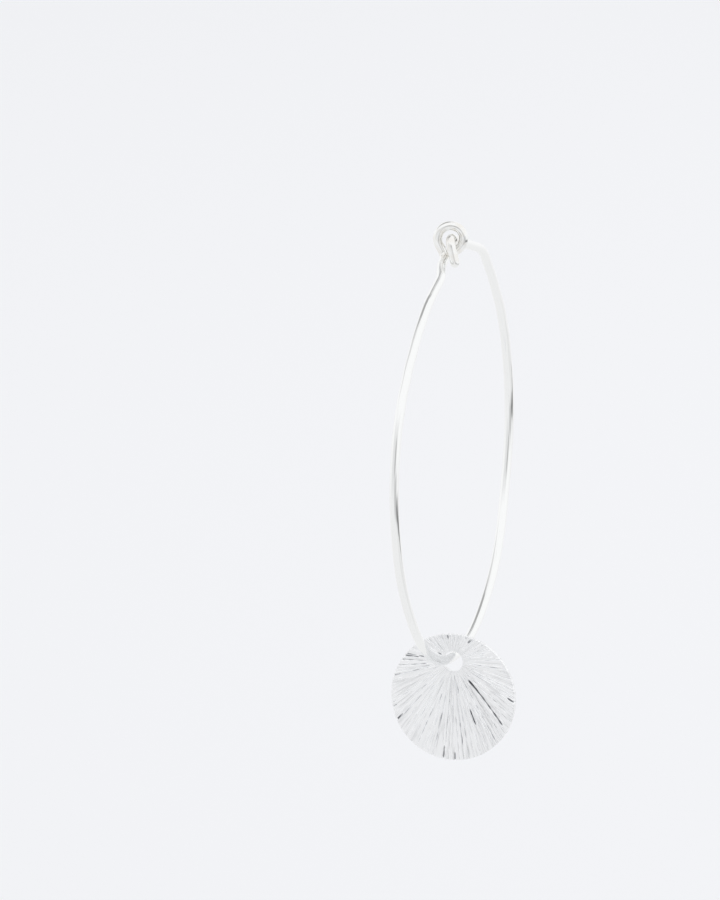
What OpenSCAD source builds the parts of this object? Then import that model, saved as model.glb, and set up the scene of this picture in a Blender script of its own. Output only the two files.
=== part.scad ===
// Hoop earring with one disc charm. The hoop lies in the XZ plane, hangs from its top and
// its disc hangs on the wire at the lowest point, square to the wire.
// The origin is on the ear wire, just behind the eye, where the ear lobe carries the hoop.

/* [Wire] */
// Diameter of the round silver wire
wire_d = 0.9; // [0.7:0.05:1.0]
// Diameter over the outside of the hoop
hoop_outer_d = 40; // [36:0.5:42]
// Drop from the ear wire at the top to the centre of the hoop's circle
hoop_drop = 21.5; // [21:0.1:22.5]

/* [Ear wire] */
// Angle from the top of the circle at which the ear wire leaves it and runs straight
ear_leave_angle = 44; // [40:1:48]
// Slope of the ear wire where it passes through the lobe and the eye
ear_slope = 16; // [12:1:20]
// Bend radius of the shoulder between those two straight lengths
shoulder_bend = 6; // [4:0.5:7]
// Reach of the ear wire past the lobe, before it turns down
ear_reach = 1.75; // [1.6:0.05:2]
// Length that hangs down as the hook, measured from the turn
hook_drop = 2.5; // [2:0.1:2.8]
// Sideways lean of the hook, which carries its tip clear of the neck
hook_lean = 0.6; // [0.55:0.05:0.8]
// Bend radius of the turn into the hook
hook_bend = 0.75; // [0.6:0.05:0.8]

/* [Eye] */
// Diameter over the outside of the eye
eye_outer_d = 3.4; // [3.3:0.1:3.8]
// Distance of the eye's centre in front of the lobe
eye_ahead = 0.5; // [0.4:0.05:0.7]
// Sideways offset of the eye's centre from the hoop's plane
eye_aside = 0.2; // [0.1:0.05:0.3]
// Turn of the eye about the vertical, away from square to the wire
eye_turn = 15; // [10:1:18]
// Angle on the eye's circle where the neck runs into it
eye_start_angle = -27; // [-32:1:-22]
// Angle through which the wire is curled to make the eye
eye_curl = 273; // [255:1:276]

/* [Neck] */
// Angle from the top of the circle at which the wire leaves it for the neck
neck_leave_angle = 34; // [30:1:36]
// Straight length from there to the first bend
neck_lead = 1.5; // [1:0.1:2]
// Radius of the first bend
neck_bend = 6; // [4:0.5:7]
// Straight length of the neck below the eye
neck_rise = 1.35; // [1.2:0.05:1.5]
// Bend radius at the foot of the neck
foot_bend = 0.8; // [0.7:0.05:0.9]

/* [Disc] */
// Diameter of the disc charm
disc_d = 12.5; // [11:0.5:14]
// Thickness of the disc
disc_t = 0.5; // [0.4:0.05:0.7]
// Diameter of the hole that the wire passes through
hole_d = 2; // [1.8:0.1:2.4]
// Distance from the hole's centre to the disc's centre
hole_offset = 3.55; // [3.3:0.05:4]
// Clearance between the top of the wire and the top of the hole
hang_gap = 0.1; // [0.05:0.01:0.2]
// Number of scored rays that fan out from the hole
ray_count = 40; // [24:2:48]
// Width of a ray at the surface
ray_w = 0.16; // [0.1:0.01:0.18]
// Depth of a ray
ray_depth = 0.09; // [0.05:0.01:0.12]
// Distance from the hole's centre at which the rays begin
ray_start = 2; // [1.6:0.1:2.2]

/* [Hidden] */
$fn = 64;
wire_r = wire_d / 2;
hoop_r = (hoop_outer_d - wire_d) / 2;
hoop_centre = [0, 0, -hoop_drop];
joint_swell = 1.01;
ball_r = joint_swell * wire_r;
end_trim = 0.03;
eye_r = (eye_outer_d - wire_d) / 2;
eye_centre = [-eye_ahead, eye_aside, eye_ahead * tan(ear_slope)];
hole_centre_z = -hoop_drop - hoop_r - (hole_d - wire_d) / 2 + hang_gap;
disc_centre_z = hole_centre_z - hole_offset;
ray_reach = disc_d;

// Point and tangent of the hoop's circle at an angle from its top, towards +X
function on_hoop(angle) = hoop_centre + hoop_r * [sin(angle), 0, cos(angle)];
function along_hoop(angle) = [cos(angle), 0, -sin(angle)];

// Point and tangent of the eye's circle
function eye_side() = [-sin(eye_turn), cos(eye_turn), 0];
function on_eye(angle) = eye_centre + eye_r * (cos(angle) * eye_side() + [0, 0, sin(angle)]);
function along_eye(angle) = -sin(angle) * eye_side() + [0, 0, cos(angle)];

function unit(v) = v / norm(v);
function turn_between(u, v) = acos(u * v);

// Where the ear wire's straight length off the circle meets the slope through the lobe
ear_start = on_hoop(ear_leave_angle);
ear_run = (-ear_start.z - ear_start.x * tan(ear_slope))
    / (sin(ear_leave_angle) - cos(ear_leave_angle) * tan(ear_slope));
shoulder = ear_start - ear_run * along_hoop(ear_leave_angle);
hook_turn = [-ear_reach, 0, ear_reach * tan(ear_slope)];
hook_end = hook_turn + [0, -hook_lean, -hook_drop];

// The near branch: off the circle, along to the foot of the neck, then up into the eye
neck_start = on_hoop(-neck_leave_angle);
neck_first = neck_start + neck_lead * along_hoop(-neck_leave_angle);
neck_top = on_eye(eye_start_angle);
neck_foot = neck_top - neck_rise * along_eye(eye_start_angle);

// Each route is a list of corners, with the bend radius at each corner between its two ends
ear_route = [ear_start, shoulder, hook_turn, hook_end];
ear_bends = [0, shoulder_bend, hook_bend, 0];
neck_route = [neck_start, neck_first, neck_foot, neck_top];
neck_bends = [0, neck_bend, foot_bend, 0];

// Length that a bend takes off the straight lengths on both sides of its corner
function setback(route, bends, i) =
    bends[i] == 0 ? 0 : bends[i] * tan(turn_between(heading(route, i - 1), heading(route, i)) / 2);
function heading(route, i) = unit(route[i + 1] - route[i]);

// Places what lies along local axes in a frame given by its three axes and its origin
module in_frame(x_axis, y_axis, z_axis, origin) {
    multmatrix([
        [x_axis.x, y_axis.x, z_axis.x, origin.x],
        [x_axis.y, y_axis.y, z_axis.y, origin.y],
        [x_axis.z, y_axis.z, z_axis.z, origin.z],
        [0, 0, 0, 1]
    ]) children();
}

// The ball where two lengths of wire meet. It is a hair fatter than the wire, and both lengths
// stop just inside it, so that every seam is a clean cut and no two surfaces only graze.
module ball(centre) {
    translate(centre)
        sphere(r = ball_r);
}

// A straight length of wire, whose local X is any direction square to it
module straight(from, to) {
    axis = unit(to - from);
    side = unit(cross(axis, abs(axis.y) < 0.9 ? [0, 1, 0] : [1, 0, 0]));
    in_frame(side, cross(axis, side), axis, from + end_trim * axis)
        cylinder(r = wire_r, h = norm(to - from) - 2 * end_trim);
}

// An arc of wire that starts at a point, heading one way and turning towards another
module bend(start, way, towards, radius, angle) {
    inward = unit(towards - (towards * way) * way);
    trim_angle = end_trim / radius * 180 / PI;
    in_frame(-inward, way, cross(-inward, way), start + radius * inward)
        rotate([0, 0, trim_angle])
            rotate_extrude(angle = angle - 2 * trim_angle)
                translate([radius, 0])
                    circle(r = wire_r);
}

// A bent length of wire through the corners of a route
module bent_wire(route, bends) {
    for (i = [0 : len(route) - 2]) {
        way = heading(route, i);
        from = route[i] + setback(route, bends, i) * way;
        to = route[i + 1] - setback(route, bends, i + 1) * way;
        straight(from, to);
        ball(from);
        ball(to);
    }
    for (i = [1 : len(route) - 2]) {
        way = heading(route, i - 1);
        next = heading(route, i);
        bend(route[i] - setback(route, bends, i) * way, way, next, bends[i], turn_between(way, next));
    }
}

// One wire: the hoop, the neck and eye at its near end, the ear wire and hook at its far end
module hoop_wire() {
    color("silver") {
        bend(ear_start, along_hoop(ear_leave_angle), hoop_centre - ear_start, hoop_r,
            360 - ear_leave_angle - neck_leave_angle);
        bent_wire(ear_route, ear_bends);
        bent_wire(neck_route, neck_bends);
        bend(neck_top, along_eye(eye_start_angle), eye_centre - neck_top, eye_r, eye_curl);
        ball(on_eye(eye_start_angle + eye_curl));
    }
}

// The disc, drilled near its rim, with rays scored in its front face from the hole to the rim
module disc_charm() {
    color("gainsboro")
        difference() {
            translate([-disc_t / 2, 0, disc_centre_z])
                rotate([0, 90, 0])
                    cylinder(d = disc_d, h = disc_t);
            translate([-disc_t, 0, hole_centre_z])
                rotate([0, 90, 0])
                    cylinder(d = hole_d, h = 2 * disc_t);
            for (i = [0 : ray_count - 1]) ray((i + 0.5) * 360 / ray_count);
        }
}

// One scored ray: a shallow V along the front face
module ray(angle) {
    translate([-disc_t / 2, 0, hole_centre_z])
        rotate([angle, 0, 0])
            translate([0, 0, ray_start])
                linear_extrude(height = ray_reach)
                    polygon([[-ray_depth, -ray_w], [-ray_depth, ray_w], [ray_depth, 0]]);
}

hoop_wire();
disc_charm();
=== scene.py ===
# Looks of a hoop earring: one length of polished silver wire, bent round to a hooked end that
# closes in a small eye, and a silver disc scored with fine rays that hangs on it.
import math
import random

import bmesh
import bpy
from mathutils import Matrix, Vector


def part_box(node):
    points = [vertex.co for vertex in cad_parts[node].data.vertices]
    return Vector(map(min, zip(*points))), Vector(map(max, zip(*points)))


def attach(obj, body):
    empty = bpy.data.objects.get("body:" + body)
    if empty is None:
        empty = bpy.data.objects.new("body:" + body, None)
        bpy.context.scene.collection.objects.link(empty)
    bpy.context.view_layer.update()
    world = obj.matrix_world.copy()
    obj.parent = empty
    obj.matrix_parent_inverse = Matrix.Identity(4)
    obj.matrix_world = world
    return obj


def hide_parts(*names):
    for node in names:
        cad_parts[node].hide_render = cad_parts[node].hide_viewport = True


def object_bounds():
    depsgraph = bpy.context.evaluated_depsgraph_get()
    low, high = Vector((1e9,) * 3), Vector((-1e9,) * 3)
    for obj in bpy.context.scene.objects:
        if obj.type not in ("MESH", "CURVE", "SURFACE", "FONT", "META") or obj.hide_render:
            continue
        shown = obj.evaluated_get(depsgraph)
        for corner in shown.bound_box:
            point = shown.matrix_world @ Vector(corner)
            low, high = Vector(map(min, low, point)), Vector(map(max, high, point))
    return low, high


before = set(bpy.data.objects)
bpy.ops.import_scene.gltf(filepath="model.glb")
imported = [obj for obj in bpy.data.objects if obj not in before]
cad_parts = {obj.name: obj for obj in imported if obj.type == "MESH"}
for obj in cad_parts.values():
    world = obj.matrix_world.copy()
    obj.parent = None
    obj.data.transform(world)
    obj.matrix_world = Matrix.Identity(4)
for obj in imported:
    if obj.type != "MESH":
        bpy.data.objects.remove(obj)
cad_low, cad_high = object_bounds()

MM = 0.001
UP = Vector((0, 0, 1))
ACROSS = Vector((0, 1, 0))
TO_BACK = Vector((1, 0, 0))

# Sizes in millimetres and angles in degrees. What the frame gives is read from it.
WIRE_D = 0.9
EAR_LEAVE_ANGLE = 44
EAR_SLOPE = 16
SHOULDER_BEND = 6
EAR_REACH = 1.75
HOOK_DROP = 2.5
HOOK_LEAN = 0.6
HOOK_BEND = 0.75
EYE_OUTER_D = 3.4
EYE_AHEAD = 0.5
EYE_ASIDE = 0.2
EYE_TURN = 15
EYE_START_ANGLE = -27
EYE_CURL = 273
NECK_LEAVE_ANGLE = 34
NECK_LEAD = 1.5
NECK_BEND = 6
NECK_RISE = 1.35
FOOT_BEND = 0.8
HOLE_D = 2.0
HOLE_OFFSET = 3.55

wire_low, wire_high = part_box("hoop_wire")
disc_low, disc_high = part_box("disc_charm")
wire_r = WIRE_D / 2
hoop_r = (wire_high.x - wire_low.x) / 2 / MM - wire_r
hoop_centre = Vector((0, 0, wire_low.z / MM + wire_r + hoop_r))
disc_r = (disc_high.y - disc_low.y) / 2 / MM
disc_t = (disc_high.x - disc_low.x) / MM
disc_centre = (disc_low + disc_high) / 2 / MM
hole_r = HOLE_D / 2
hole_centre = disc_centre + HOLE_OFFSET * UP
eye_r = (EYE_OUTER_D - WIRE_D) / 2


def rad(degrees):
    return math.radians(degrees)


def smooth(t):
    """Eases from 0 to 1 as t does."""
    t = min(max(t, 0.0), 1.0)
    return t * t * (3 - 2 * t)


def within_half_turn(angle):
    """The same angle in radians, brought between half a turn back and half a turn on."""
    return (angle + math.pi) % math.tau - math.pi


# Colour and nodes


def srgb(hex_code):
    """The linear colour of an sRGB hex value."""
    parts = [int(hex_code[i:i + 2], 16) / 255 for i in (1, 3, 5)]
    linear = [c / 12.92 if c <= 0.04045 else ((c + 0.055) / 1.055) ** 2.4 for c in parts]
    return (*linear, 1.0)


def add(tree, kind, inputs=None, **settings):
    """Adds a node. An input given as a socket is linked, and any other is set to its value."""
    node = tree.nodes.new("ShaderNode" + kind)
    for name, value in settings.items():
        setattr(node, name, value)
    for name, value in (inputs or {}).items():
        if isinstance(value, bpy.types.NodeSocket):
            tree.links.new(value, node.inputs[name])
        else:
            node.inputs[name].default_value = value
    return node


def new_material(name):
    material = bpy.data.materials.new(name)
    material.use_nodes = True
    material.node_tree.nodes.clear()
    return material, material.node_tree


# Making pieces


def in_scene(name, data):
    thing = bpy.data.objects.new(name, data)
    bpy.context.scene.collection.objects.link(thing)
    return thing


def mesh_object(bm, name, material):
    mesh = bpy.data.meshes.new(name)
    bm.to_mesh(mesh)
    bm.free()
    mesh.materials.append(material)
    return in_scene(name, mesh)


def finished(bm, name, material, body):
    """Turns a bmesh modelled in millimetres into a piece of the earring, in metres."""
    bmesh.ops.scale(bm, vec=(MM, MM, MM), verts=bm.verts)
    piece = mesh_object(bm, name, material)
    piece.data.shade_smooth()
    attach(piece, body)
    return piece


def verts_in(geom):
    return [g for g in geom if isinstance(g, bmesh.types.BMVert)]


def edges_in(geom):
    return [g for g in geom if isinstance(g, bmesh.types.BMEdge)]


# The wire's route. Angles on the hoop run from the top of its circle towards +X.

lobe_slope = math.tan(rad(EAR_SLOPE))
leave = rad(EAR_LEAVE_ANGLE)


def on_hoop(angle):
    return hoop_centre + hoop_r * Vector((math.sin(rad(angle)), 0, math.cos(rad(angle))))


def along_hoop(angle):
    return Vector((math.cos(rad(angle)), 0, -math.sin(rad(angle))))


eye_side = Vector((-math.sin(rad(EYE_TURN)), math.cos(rad(EYE_TURN)), 0))
eye_axis = eye_side.cross(UP)
eye_centre = Vector((-EYE_AHEAD, EYE_ASIDE, EYE_AHEAD * lobe_slope))


def on_eye(angle):
    return eye_centre + eye_r * (math.cos(rad(angle)) * eye_side + math.sin(rad(angle)) * UP)


def along_eye(angle):
    return -math.sin(rad(angle)) * eye_side + math.cos(rad(angle)) * UP


# The ear wire runs straight off the circle until it meets the slope through the lobe.
ear_start = on_hoop(EAR_LEAVE_ANGLE)
ear_run = (-ear_start.z - ear_start.x * lobe_slope) / (math.sin(leave) - math.cos(leave) * lobe_slope)
shoulder = ear_start - ear_run * along_hoop(EAR_LEAVE_ANGLE)
hook_turn = Vector((-EAR_REACH, 0, EAR_REACH * lobe_slope))
hook_end = hook_turn + Vector((0, -HOOK_LEAN, -HOOK_DROP))
neck_start = on_hoop(-NECK_LEAVE_ANGLE)
neck_first = neck_start + NECK_LEAD * along_hoop(-NECK_LEAVE_ANGLE)
neck_top = on_eye(EYE_START_ANGLE)
neck_foot = neck_top - NECK_RISE * along_eye(EYE_START_ANGLE)


# Bending the wire

WIRE_SIDES = 36
# Lengths in millimetres that one step carries the ring on. Tight bends need the short one.
STRAIGHT_STEP = 0.3
HOOP_STEP = 0.3
BEND_STEP = 0.09
DOME_STEPS = 6
# The share of a step by which the dome stops short of its tip
DOME_GAP = 0.5


class Bench:
    """Bends one wire. The ring is its free end, which each length and bend carries further on."""

    def __init__(self, place, heading):
        self.bm = bmesh.new()
        self.along = self.bm.verts.layers.float.new("along_mm")
        self.around = self.bm.verts.layers.float_vector.new("around")
        self.place = place.copy()
        self.heading = heading.normalized()
        self.length = 0.0
        turn = UP.rotation_difference(self.heading).to_matrix().to_4x4()
        made = bmesh.ops.create_circle(self.bm, segments=WIRE_SIDES, radius=wire_r,
                                       matrix=Matrix.Translation(place) @ turn)
        for i, vert in enumerate(made["verts"]):
            angle = math.tau * i / WIRE_SIDES
            vert[self.around] = (math.cos(angle), math.sin(angle), 0)
        self.ring = list(self.bm.edges)
        self.first_ring = list(self.ring)

    def carry(self, move, steps, step_length):
        """Carries the ring on by one move, again and again, and leaves the wire's wall behind it."""
        for _ in range(steps):
            grown = bmesh.ops.extrude_edge_only(self.bm, edges=self.ring)["geom"]
            verts = verts_in(grown)
            bmesh.ops.transform(self.bm, matrix=move, verts=verts)
            self.ring = edges_in(grown)
            self.length += step_length
            for vert in verts:
                vert[self.along] = self.length

    def straight(self, to):
        way = to - self.place
        steps = max(1, round(way.length / STRAIGHT_STEP))
        self.carry(Matrix.Translation(way / steps), steps, way.length / steps)
        self.place = to.copy()

    def arc(self, centre, axis, degrees, step=BEND_STEP):
        length = (self.place - centre).length * abs(rad(degrees))
        steps = max(2, round(length / step))
        turn = Matrix.Rotation(rad(degrees) / steps, 4, axis)
        move = Matrix.Translation(centre) @ turn @ Matrix.Translation(-centre)
        self.carry(move, steps, length / steps)
        whole = Matrix.Rotation(rad(degrees), 3, axis)
        self.place = centre + whole @ (self.place - centre)
        self.heading = whole @ self.heading

    def turn_at(self, corner, to, radius):
        """Runs straight up to a bend at a corner, and through the bend, to head for another point."""
        onward = (to - corner).normalized()
        angle = self.heading.angle(onward)
        self.straight(corner - radius * math.tan(angle / 2) * self.heading)
        inward = (onward - onward.dot(self.heading) * self.heading).normalized()
        axis = self.heading.cross(onward).normalized()
        self.arc(self.place + radius * inward, axis, math.degrees(angle))

    def dome(self, ring, centre, heading):
        """Rounds a wire end over, as a file and a cloth leave it, and closes its tip."""
        tilts = [rad(90 * i / (DOME_STEPS + DOME_GAP)) for i in range(DOME_STEPS + 1)]
        for before, after in zip(tilts, tilts[1:]):
            grown = bmesh.ops.extrude_edge_only(self.bm, edges=ring)["geom"]
            shrink = math.cos(after) / math.cos(before)
            rise = wire_r * (math.sin(after) - math.sin(before))
            from_here = centre + wire_r * math.sin(before) * heading
            move = (Matrix.Translation(from_here + rise * heading) @ Matrix.Scale(shrink, 4)
                    @ Matrix.Translation(-from_here))
            bmesh.ops.transform(self.bm, matrix=move, verts=verts_in(grown))
            ring = edges_in(grown)
        cap = bmesh.ops.contextual_create(self.bm, geom=ring)["faces"]
        bmesh.ops.poke(self.bm, faces=cap)


def bent_wire():
    """The whole wire, from its end in the eye round the hoop to the tip of the hook."""
    eye_end_angle = EYE_START_ANGLE + EYE_CURL
    bench = Bench(on_eye(eye_end_angle), -along_eye(eye_end_angle))
    first_place = bench.place.copy()
    first_heading = bench.heading.copy()
    bench.arc(eye_centre, eye_axis, -EYE_CURL)
    bench.turn_at(neck_foot, neck_first, FOOT_BEND)
    bench.turn_at(neck_first, neck_start, NECK_BEND)
    bench.straight(neck_start)
    bench.arc(hoop_centre, ACROSS, EAR_LEAVE_ANGLE + NECK_LEAVE_ANGLE - 360, step=HOOP_STEP)
    bench.turn_at(shoulder, hook_turn, SHOULDER_BEND)
    bench.turn_at(hook_turn, hook_end, HOOK_BEND)
    bench.straight(hook_end)
    bench.dome(bench.ring, bench.place, bench.heading)
    bench.dome(bench.first_ring, first_place, -first_heading)
    bmesh.ops.recalc_face_normals(bench.bm, faces=bench.bm.faces)
    return bench.bm


# How far the hand-bent wire strays from its true route: angle in degrees on the hoop, then
# millimetres along Y and along X. It eases from each row to the next.
STRAY = [
    (4, 0.0, 0.0), (20, -0.44, 0.0), (34, -0.40, 0.0), (48, -0.22, 0.0), (60, -0.08, 0.0),
    (72, 0.02, 0.0), (84, 0.08, 0.0), (108, 0.15, -0.24), (134, 0.0, -0.12), (148, 0.02, -0.04),
    (162, 0.0, 0.0), (200, 0.0, 0.0), (226, -0.10, 0.0), (250, 0.04, 0.0), (272, 0.11, 0.0),
    (286, 0.09, 0.0), (296, 0.0, 0.0), (304, -0.13, 0.0), (314, -0.26, 0.0), (324, -0.33, 0.0),
    (334, -0.38, 0.0), (344, -0.48, 0.0), (354, 0.0, 0.0),
]


def stray(point):
    """How far the wire strays at a point of it. It is true at the eye, and where the disc hangs."""
    angle = math.degrees(math.atan2(point.x, point.z - hoop_centre.z)) % 360
    for (low, low_y, low_x), (high, high_y, high_x) in zip(STRAY, STRAY[1:]):
        if low <= angle < high:
            share = smooth((angle - low) / (high - low))
            return Vector((low_x + (high_x - low_x) * share, low_y + (high_y - low_y) * share, 0))
    return Vector()


def hoop_wire(material):
    bm = bent_wire()
    for vert in bm.verts:
        vert.co += stray(vert.co)
    wire = finished(bm, "silver_hoop_wire", material, "hoop")
    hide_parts("hoop_wire")


# The disc. Lengths are in millimetres.

DISC_SPOKES = 1680
DISC_RINGS = 40
EDGE_ROUND = 0.06
EDGE_STEPS = 3
# Length over which the two ends of a cut ease in
CUT_EASE = 0.4
# Beside a cut stands the burr that the tool throws up. The distance of its crest, and the reach of
# cut and burr together, are in widths of the cut. Its fall for each width is in shares of its own
# height, and that is a share of the cut's depth.
BURR_AT = 1.35
BURR_STEEPNESS = 1.6
BURR_HEIGHT = 0.3
CUT_REACH = 2
# Keeps neighbouring cuts from chattering in step
CHATTER_SHIFT = 40
# Radians either side of a spoke from which a ray can reach it
RAY_REACH = 0.2
# How far a cut nicks the rim, as a share of its depth
RIM_BITE = 0.9

RAY_SEED = 11
# Families of rays, which fill in between one another as they spread out
RAY_FAMILIES = [
    # count, nearest start, furthest start, width, depth
    (60, 1.05, 1.6, 0.060, 0.046),
    (60, 2.0, 3.4, 0.065, 0.050),
    (96, 3.8, 6.2, 0.065, 0.054),
]
# How much those rays differ, in angle as a share of their spacing and in width and depth as shares
FAMILY_SPREAD = 0.35
FAMILY_WIDTHS = (0.7, 1.4)
FAMILY_DEPTHS = (0.6, 1.3)
# Radians sideways for each millimetre outwards
FAMILY_WANDER = 0.004
FAMILY_CHATTER = (0.2, 0.8)
FAMILY_PITCH = (0.9, 2.2)
# Most of them run out past the rim, and the others are short.
PAST_RIM = 12.0
PAST_RIM_SHARE = 0.75
SHORT_RAY = (1.5, 4.5)
DEEP_RAYS = [
    # angle from the top towards +Y in degrees, start, end, width, depth, wander in degrees
    # for each millimetre outwards
    (-137.5, 2.2, 8.1, 0.12, 0.13, -0.5),
    (-159.5, 4.8, 6.7, 0.11, 0.11, 0.0),
    (86.0, 3.2, 6.2, 0.10, 0.11, 0.3),
    (92.0, 2.4, 5.6, 0.10, 0.09, -0.2),
    (106.0, 6.0, 7.8, 0.10, 0.10, 0.0),
    (117.0, 6.6, 8.0, 0.10, 0.10, 0.0),
    (129.0, 7.0, 8.6, 0.10, 0.10, 0.0),
    (137.5, 7.2, 9.2, 0.13, 0.14, 0.0),
    (174.5, 8.2, 10.0, 0.13, 0.13, 0.0),
    (-178.5, 8.8, 10.0, 0.12, 0.13, 0.0),
    (-121.0, 6.2, 8.2, 0.12, 0.13, 0.0),
    (11.0, 2.1, 3.2, 0.10, 0.10, 0.0),
    (-39.0, 2.2, 3.6, 0.10, 0.11, 0.0),
    (63.0, 1.0, 1.9, 0.10, 0.12, 0.0),
    (171.0, 0.8, 1.5, 0.10, 0.10, 0.0),
]
DEEP_CHATTER = 0.3
DEEP_PITCH = (0.8, 1.1)


class Ray:
    """One scored line. It starts some way from the hole's centre and runs out to its end. The tool
    chatters on its way, so that the cut runs deeper and shallower by turns."""

    def __init__(self, angle, start, end, width, depth, wander, chatter, pitch):
        self.angle = angle
        self.start = start
        self.end = end
        self.width = width
        self.depth = depth
        self.wander = wander
        self.chatter = chatter
        self.pitch = pitch

    def cut(self, angle, distance):
        """Depth of the cut at a place on the disc, or less than 0 on the burr beside it."""
        away = angle - self.angle - self.wander * (distance - self.start)
        offset = abs(within_half_turn(away)) * distance / self.width
        if offset > CUT_REACH:
            return 0.0
        ends = smooth((distance - self.start) / CUT_EASE) * smooth((self.end - distance) / CUT_EASE)
        groove = max(0.0, 1 - offset)
        burr = max(0.0, 1 - BURR_STEEPNESS * abs(offset - BURR_AT))
        beat = math.sin(math.tau * distance / self.pitch + CHATTER_SHIFT * self.angle)
        bite = 1 - self.chatter * (0.5 + 0.5 * beat)
        return ends * bite * self.depth * (groove - BURR_HEIGHT * burr)


def scored_rays():
    rng = random.Random(RAY_SEED)
    rays = []
    for angle, start, end, width, depth, wander in DEEP_RAYS:
        pitch = rng.uniform(*DEEP_PITCH)
        rays.append(Ray(rad(angle), start, end, width, depth, rad(wander), DEEP_CHATTER, pitch))
    for count, near, far, width, depth in RAY_FAMILIES:
        for i in range(count):
            angle = math.tau * (i + rng.uniform(-FAMILY_SPREAD, FAMILY_SPREAD)) / count
            start = rng.uniform(near, far)
            end = PAST_RIM if rng.random() < PAST_RIM_SHARE else start + rng.uniform(*SHORT_RAY)
            own_width = width * rng.uniform(*FAMILY_WIDTHS)
            own_depth = depth * rng.uniform(*FAMILY_DEPTHS)
            wander = rng.uniform(-FAMILY_WANDER, FAMILY_WANDER)
            chatter = rng.uniform(*FAMILY_CHATTER)
            pitch = rng.uniform(*FAMILY_PITCH)
            rays.append(Ray(angle, start, end, own_width, own_depth, wander, chatter, pitch))
    return rays


def grow(bm, ring, place):
    """Extrudes a ring of edges, and moves each new vertex to where place says for its old position."""
    grown = bmesh.ops.extrude_edge_only(bm, edges=ring)["geom"]
    for vert in verts_in(grown):
        vert.co = place(vert.co)
    return edges_in(grown)


def from_top(point):
    """Angle of a point of the flat disc from its top, and distance from the hole's centre."""
    return math.atan2(point.y, point.x), math.hypot(point.x, point.y)


def rim_distance(angle, radius):
    """Distance from the hole's centre to a circle about the disc's centre, at an angle from the top."""
    half_chord = math.sqrt(radius ** 2 - (HOLE_OFFSET * math.sin(angle)) ** 2)
    return -HOLE_OFFSET * math.cos(angle) + half_chord


def wall(bm, ring, centre, radius, outwards):
    """Carries a ring on round the front edge of a wall, down the wall and round its back edge."""
    sign = 1 if outwards else -1

    def way_from_centre(co):
        return Vector((co.x - centre.x, co.y - centre.y, 0)).normalized()

    def rounded(before, after, front):
        out = math.sin(after) - math.sin(before) if front else math.cos(after) - math.cos(before)
        down = math.cos(before) - math.cos(after) if front else math.sin(after) - math.sin(before)

        def place(co):
            return co + EDGE_ROUND * (sign * out * way_from_centre(co) - down * UP)
        return place

    def to_back(co):
        return centre + radius * way_from_centre(co) - (disc_t - EDGE_ROUND) * UP

    steps = [rad(90 * i / EDGE_STEPS) for i in range(EDGE_STEPS + 1)]
    for before, after in zip(steps, steps[1:]):
        ring = grow(bm, ring, rounded(before, after, True))
    ring = grow(bm, ring, to_back)
    for before, after in zip(steps, steps[1:]):
        ring = grow(bm, ring, rounded(before, after, False))
    return ring


def scored_disc():
    """The disc. It is modelled flat about the hole's centre, with +Z as its front and +X as its
    top, and then stood up. Each vertex keeps the depth that it is cut to, for the material."""
    bm = bmesh.new()
    cut = bm.verts.layers.float.new("cut")
    rays = scored_rays()
    near = {}

    def depth_at(angle, distance):
        column = round(angle / math.tau * DISC_SPOKES) % DISC_SPOKES
        if column not in near:
            near[column] = [ray for ray in rays if abs(within_half_turn(angle - ray.angle)) < RAY_REACH]
        return sum(ray.cut(angle, distance) for ray in near[column])

    def to_rim(co):
        angle, _ = from_top(co)
        rim = rim_distance(angle, disc_r - EDGE_ROUND)
        bite = RIM_BITE * max(0.0, depth_at(angle, rim))
        return (rim - bite) / co.length * co

    bmesh.ops.create_circle(bm, segments=DISC_SPOKES, radius=hole_r + EDGE_ROUND)
    hole_ring = list(bm.edges)
    rim_ring = grow(bm, hole_ring, to_rim)
    rings = set(hole_ring) | set(rim_ring)
    spokes = [e for e in bm.edges if e not in rings]
    bmesh.ops.subdivide_edges(bm, edges=spokes, cuts=DISC_RINGS - 1, use_grid_fill=True)
    for vert in bm.verts:
        vert[cut] = depth_at(*from_top(vert.co))
        vert.co.z -= vert[cut]
    front = set(bm.verts)

    middle = Vector((-HOLE_OFFSET, 0, 0))
    rim_back = wall(bm, rim_ring, middle, disc_r, True)
    hole_back = wall(bm, hole_ring, Vector(), hole_r, False)
    bmesh.ops.bridge_loops(bm, edges=rim_back + hole_back)
    # The edges and the back took on the cut of the vertices that they grew from.
    for vert in bm.verts:
        if vert not in front:
            vert[cut] = 0.0
    bmesh.ops.recalc_face_normals(bm, faces=bm.faces)
    upright = Matrix(((0, 0, -1), (0, 1, 0), (1, 0, 0))).to_4x4()
    front_centre = hole_centre - disc_t / 2 * TO_BACK
    bmesh.ops.transform(bm, matrix=Matrix.Translation(front_centre) @ upright, verts=bm.verts)
    return bm


def disc_charm(material):
    disc = finished(scored_disc(), "scored_disc", material, "disc")
    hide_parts("disc_charm")


# Materials

# A Mix node's two colours and its result go by number, because other sockets share their names.
FIRST_COLOUR = 6
SECOND_COLOUR = 7
MIXED_COLOUR = 2

# The wire's patterns lie on places in millimetres: a scale of 1 makes patches about 1 mm across.
BLOOM_SCALE = 0.6
WAVE_SCALE = 0.9
WAVE_HEIGHT = 0.04 * MM
WIRE_TARNISH_SCALE = 1.3
WIRE_TARNISH_MOST = 0.14
# Millimetres from the eye's centre at which the tarnish starts, and within which it is full
WIRE_TARNISH_REACH = (4.0, 1.8)
# Draw lines lie round the wire in radii of it and along it in millimetres. The scale makes them
# 0.02 mm wide and the stretch makes them 1.3 mm long.
DRAW_LINE_SCALE = 26.0
DRAW_LINE_STRETCH = 0.03
DRAW_LINE_HEIGHT = 0.004 * MM

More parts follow.
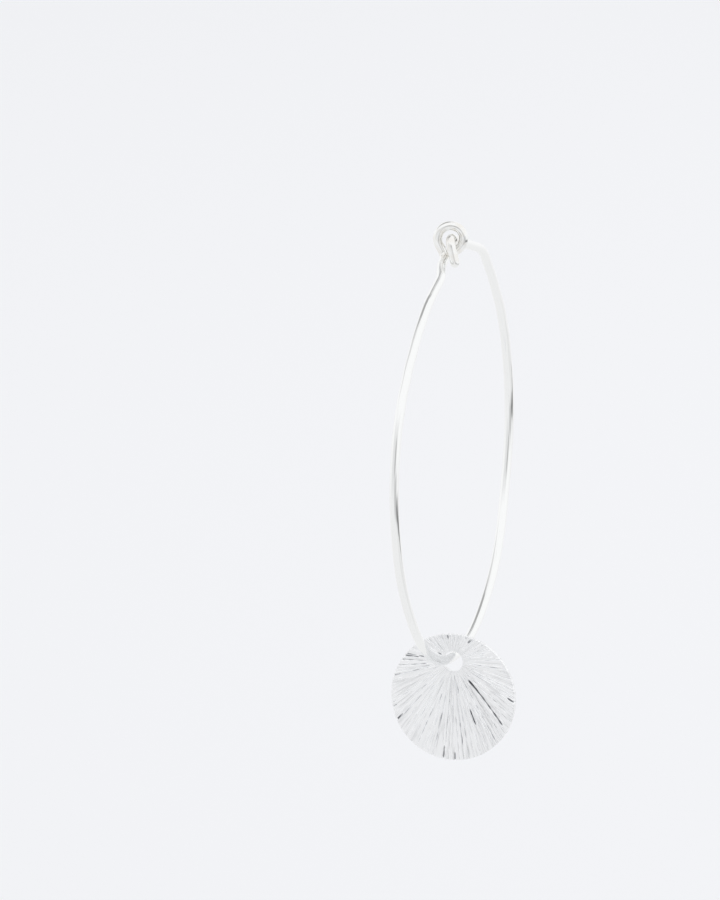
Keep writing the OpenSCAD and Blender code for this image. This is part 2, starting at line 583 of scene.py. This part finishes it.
# Brush lines on the disc lie on the direction from the hole's centre, which makes them 0.2 mm wide
# half way out, and on the place in metres. The stretch makes them 3 mm long.
BRUSH_SCALE = 26.0
BRUSH_STRETCH = 12.0
BRUSH_HEIGHT = 0.04 * MM
# Depths of a cut in millimetres at which its painted shade starts and is full, and from which its side
# is bright
CUT_SHADE_DEPTHS = (0.03, 0.1)
BURNISH_DEPTH = 0.03


def polished_silver():
    """Sterling silver wire, drawn and then polished. What shows is a mirror that waves a little, with
    hair-fine draw lines along it and a faint bloom of handling. The wire's small eye and the hook in
    it are hard to polish, and keep a faint warm tarnish in patches."""
    material, tree = new_material("polished_sterling_silver")
    along = add(tree, "Attribute", attribute_name="along_mm").outputs["Fac"]
    around = add(tree, "Attribute", attribute_name="around").outputs["Vector"]
    stretched = add(tree, "Math", {0: along, 1: DRAW_LINE_STRETCH}, operation="MULTIPLY").outputs[0]
    drawn = add(tree, "CombineXYZ", {"Z": stretched}).outputs["Vector"]
    lines_at = add(tree, "VectorMath", {0: around, 1: drawn}, operation="ADD").outputs["Vector"]
    lines = add(tree, "TexNoise", {"Vector": lines_at, "Scale": DRAW_LINE_SCALE,
                                   "Detail": 2.0}).outputs["Fac"]
    in_metres = add(tree, "TexCoord").outputs["Object"]
    place = add(tree, "VectorMath", {0: in_metres, 1: (1 / MM, 1 / MM, 1 / MM)},
                operation="MULTIPLY").outputs["Vector"]
    bloom = add(tree, "TexNoise", {"Vector": place, "Scale": BLOOM_SCALE, "Detail": 3.0}).outputs["Fac"]
    roughness = add(tree, "MapRange", {"Value": bloom, "From Min": 0.35, "From Max": 0.7,
                                       "To Min": 0.06, "To Max": 0.14}).outputs["Result"]
    waves = add(tree, "TexNoise", {"Vector": place, "Scale": WAVE_SCALE, "Detail": 0.0}).outputs["Fac"]
    waved = add(tree, "Bump", {"Strength": 0.3, "Distance": WAVE_HEIGHT,
                               "Height": waves}).outputs["Normal"]
    normal = add(tree, "Bump", {"Strength": 0.12, "Distance": DRAW_LINE_HEIGHT, "Height": lines,
                                "Normal": waved}).outputs["Normal"]

    start, full = WIRE_TARNISH_REACH
    from_eye = add(tree, "VectorMath", {0: place, 1: eye_centre}, operation="DISTANCE").outputs["Value"]
    near_eye = add(tree, "MapRange", {"Value": from_eye, "From Min": start, "From Max": full,
                                      "To Min": 0.0, "To Max": WIRE_TARNISH_MOST},
                   interpolation_type="SMOOTHSTEP").outputs["Result"]
    spots = add(tree, "TexNoise", {"Vector": place, "Scale": WIRE_TARNISH_SCALE,
                                   "Detail": 2.0}).outputs["Fac"]
    patches = add(tree, "MapRange", {"Value": spots, "From Min": 0.4,
                                     "From Max": 0.62}).outputs["Result"]
    tarnish_and_painted_shade = add(tree, "Math", {0: near_eye, 1: patches}, operation="MULTIPLY").outputs[0]
    colour = add(tree, "Mix", {"Factor": tarnish_and_painted_shade, FIRST_COLOUR: srgb("#F8F9F9"),
                               SECOND_COLOUR: srgb("#CDB384")}, data_type="RGBA").outputs[MIXED_COLOUR]
    surface = add(tree, "BsdfPrincipled", {"Base Color": colour, "Metallic": 1.0,
                                           "Roughness": roughness, "Normal": normal})
    add(tree, "OutputMaterial", {"Surface": surface.outputs["BSDF"]})
    return material


def scored_silver():
    """Satin sterling silver sheet. What shows is cool grey with brush lines that fan out from the
    hole, bright burnished sides to the scored cuts, and painted shade down in the deeper ones: their
    colour darkens with depth to stand in for the light lost inside them."""
    material, tree = new_material("scored_satin_silver")
    cut = add(tree, "Attribute", attribute_name="cut").outputs["Fac"]
    in_metres = add(tree, "TexCoord").outputs["Object"]
    place = add(tree, "VectorMath", {0: in_metres, 1: hole_centre * MM},
                operation="SUBTRACT").outputs["Vector"]
    flat = add(tree, "VectorMath", {0: place, 1: (0, 1, 1)}, operation="MULTIPLY").outputs["Vector"]
    way = add(tree, "VectorMath", {0: flat}, operation="NORMALIZE").outputs["Vector"]
    stretched = add(tree, "VectorMath", {0: place, 1: (BRUSH_STRETCH, BRUSH_STRETCH, BRUSH_STRETCH)},
                    operation="MULTIPLY").outputs["Vector"]
    brushed_at = add(tree, "VectorMath", {0: way, 1: stretched}, operation="ADD").outputs["Vector"]
    brushed = add(tree, "TexNoise", {"Vector": brushed_at, "Scale": BRUSH_SCALE, "Detail": 4.0,
                                     "Roughness": 0.65}).outputs["Fac"]

    # Painted shade: the deeper a cut, the darker its colour, standing in for the light lost inside it.
    start, full = CUT_SHADE_DEPTHS
    tarnish_and_painted_shade = add(tree, "MapRange", {"Value": cut, "From Min": start, "From Max": full,
                                     "To Min": 0.0, "To Max": 0.8},
                  interpolation_type="SMOOTHSTEP").outputs["Result"]
    hairlines = add(tree, "MapRange", {"Value": brushed, "From Min": 0.5, "From Max": 0.72,
                                       "To Min": 0.0, "To Max": 0.3}).outputs["Result"]
    # The colour darkens for the painted shade in the cuts, and for the brush lines.
    dark = add(tree, "Math", {0: tarnish_and_painted_shade, 1: hairlines}, operation="MAXIMUM").outputs[0]
    colour = add(tree, "Mix", {"Factor": dark, FIRST_COLOUR: srgb("#FCFDFF"),
                               SECOND_COLOUR: srgb("#505257")}, data_type="RGBA").outputs[MIXED_COLOUR]
    roughness = add(tree, "MapRange", {"Value": cut, "From Min": 0.0, "From Max": BURNISH_DEPTH,
                                       "To Min": 0.30, "To Max": 0.16}).outputs["Result"]
    normal = add(tree, "Bump", {"Strength": 0.8, "Distance": BRUSH_HEIGHT,
                                "Height": brushed}).outputs["Normal"]
    surface = add(tree, "BsdfPrincipled", {"Base Color": colour, "Metallic": 1.0,
                                           "Roughness": roughness, "Normal": normal})
    add(tree, "OutputMaterial", {"Surface": surface.outputs["BSDF"]})
    return material


hoop_wire(polished_silver())
disc_charm(scored_silver())


# Stage and camera. Lengths are in metres, apart from the sensor's usual millimetres.

FLOOR_DROP = 0.07
FLOOR_SIZE = 6.0
PHOTO_W = 720
PHOTO_H = 900
VIEW_AZIMUTH = -73
VIEW_ELEVATION = 11.1
VIEW_DISTANCE = 1.0
PIXELS_PER_MM = 10.352
HOOP_CENTRE_PIXEL = (453.8, 458.6)
SENSOR = 36.0
CLIP_START = 0.01

floor_height = cad_low.z - FLOOR_DROP
azimuth = rad(VIEW_AZIMUTH)
elevation = rad(VIEW_ELEVATION)
view_back = Vector((math.sin(azimuth) * math.cos(elevation), -math.cos(azimuth) * math.cos(elevation),
                    math.sin(elevation)))
view_right = Vector((math.cos(azimuth), math.sin(azimuth), 0))
view_up = view_back.cross(view_right)
view_side = Vector((math.sin(azimuth), -math.cos(azimuth), 0))


def white_floor():
    """A matt white floor, well below the earring. The silver mirrors the room in its place."""
    bm = bmesh.new()
    bmesh.ops.create_grid(bm, x_segments=1, y_segments=1, size=FLOOR_SIZE / 2)
    bmesh.ops.translate(bm, verts=bm.verts, vec=(0, 0, floor_height))
    material, tree = new_material("matt_white_floor")
    matt = add(tree, "BsdfDiffuse", {"Color": srgb("#F4F5F8")})
    add(tree, "OutputMaterial", {"Surface": matt.outputs["BSDF"]})
    floor = mesh_object(bm, "floor", material)
    floor.visible_glossy = False


def photo_camera():
    """The photograph's view, moved sideways and up so that the hoop's centre is at its own pixel."""
    beside = (HOOP_CENTRE_PIXEL[0] - PHOTO_W / 2) / PIXELS_PER_MM * MM
    above = (PHOTO_H / 2 - HOOP_CENTRE_PIXEL[1]) / PIXELS_PER_MM * MM
    data = bpy.data.cameras.new("camera")
    data.sensor_fit = "VERTICAL"
    data.sensor_height = SENSOR
    data.lens = PIXELS_PER_MM * VIEW_DISTANCE / MM / PHOTO_H * SENSOR
    data.clip_start = CLIP_START
    camera = in_scene("camera", data)
    turn = Matrix((view_right, view_up, view_back)).transposed().to_4x4()
    place = hoop_centre * MM + VIEW_DISTANCE * view_back - beside * view_right - above * view_up
    camera.matrix_world = Matrix.Translation(place) @ turn
    bpy.context.scene.camera = camera


# The room that the silver mirrors: a bright tent, a little dimmer underfoot, with some darker
# places. Levels are shares of full white.
TENT_TOP = 1.01
TENT_FOOT = 0.9
# Heights of the way looked in, from straight down at -1 to straight up at 1, at which the tent
# stops being as dim as its foot and starts being as bright as its top
TENT_EASE = (-0.5, 0.3)
# Each place covers what an earlier one leaves there. Angles are in degrees. An azimuth of 0 is
# towards the camera's side of the room, and 90 is towards the right of the picture.
DARK_PLACES = [
    # name, azimuth from and to, softness, elevation from and to, softness, level
    ("dim front of the room", (-72, 18), 40, (-9, 26), 20, 0.8),
    ("camera", (-14, 14), 14, (1, 19), 10, 0.5),
    ("camera stand", (0, 52), 20, (-21, -2), 10, 0.6),
    ("gap under the tent", (44, 112), 20, (-20, -12), 6, 0.24),
    ("table's edge", (44, 112), 20, (-44, -25), 12, 0.82),
    ("dim wall", (-150, -90), 26, (24, 70), 20, 0.74),
    ("opening behind, left", (-180, -122), 16, (34, 74), 16, 0.42),
    ("opening behind, right", (158, 200), 20, (46, 62), 12, 0.52),
]
BACKDROP_LIGHT_W = 1.36
BACKDROP_LIGHT_SIZE = 1.0
# Towards the right of the picture, towards the camera and above the floor
BACKDROP_LIGHT_AT = (0.6, -0.45, 0.9)


def span(tree, value, limits, softness):
    """How far a value lies inside its limits, which have soft edges."""
    low, high = rad(limits[0]), rad(limits[1])
    half = rad(softness) / 2
    rise = add(tree, "MapRange", {"Value": value, "From Min": low - half, "From Max": low + half},
               interpolation_type="SMOOTHSTEP").outputs["Result"]
    fall = add(tree, "MapRange", {"Value": value, "From Min": high + half, "From Max": high - half},
               interpolation_type="SMOOTHSTEP").outputs["Result"]
    return add(tree, "Math", {0: rise, 1: fall}, operation="MULTIPLY").outputs[0]


def studio_world():
    world = bpy.data.worlds.new("studio")
    world.use_nodes = True
    tree = world.node_tree
    tree.nodes.clear()
    way = add(tree, "TexCoord").outputs["Generated"]
    to_side = add(tree, "VectorMath", {0: way, 1: view_side},
                  operation="DOT_PRODUCT").outputs["Value"]
    to_right = add(tree, "VectorMath", {0: way, 1: view_right},
                   operation="DOT_PRODUCT").outputs["Value"]
    height = add(tree, "SeparateXYZ", {"Vector": way}).outputs["Z"]
    turned = add(tree, "Math", {0: to_right, 1: to_side}, operation="ARCTAN2").outputs[0]
    raised = add(tree, "Math", {0: height}, operation="ARCSINE").outputs[0]
    low, high = TENT_EASE
    level = add(tree, "MapRange", {"Value": height, "From Min": low, "From Max": high,
                                   "To Min": TENT_FOOT, "To Max": TENT_TOP},
                interpolation_type="SMOOTHSTEP").outputs["Result"]
    for name, azimuths, azimuth_softness, elevations, elevation_softness, dark in DARK_PLACES:
        in_azimuth = span(tree, turned, azimuths, azimuth_softness)
        in_elevation = span(tree, raised, elevations, elevation_softness)
        share = add(tree, "Math", {0: in_azimuth, 1: in_elevation}, operation="MULTIPLY",
                    label=name).outputs[0]
        level = add(tree, "Mix", {"Factor": share, "A": level, "B": dark}).outputs["Result"]
    room = add(tree, "Background", {"Color": srgb("#FFFFFF"), "Strength": level})
    add(tree, "OutputWorld", {"Surface": room.outputs["Background"]})
    bpy.context.scene.world = world


def backdrop_light():
    """A soft lamp over the backdrop, to the right of the earring and behind it."""
    lamp = bpy.data.lights.new("backdrop_light", "AREA")
    lamp.shape = "SQUARE"
    lamp.size = BACKDROP_LIGHT_SIZE
    lamp.energy = BACKDROP_LIGHT_W
    lamp_object = in_scene("backdrop_light", lamp)
    to_right, to_side, above_floor = BACKDROP_LIGHT_AT
    height = floor_height + above_floor
    lamp_object.location = to_right * view_right + to_side * view_side + height * UP
    lamp_object.visible_glossy = False
    lamp_object.visible_camera = False


white_floor()
photo_camera()
studio_world()
backdrop_light()
bpy.context.scene.view_settings.view_transform = "Standard"
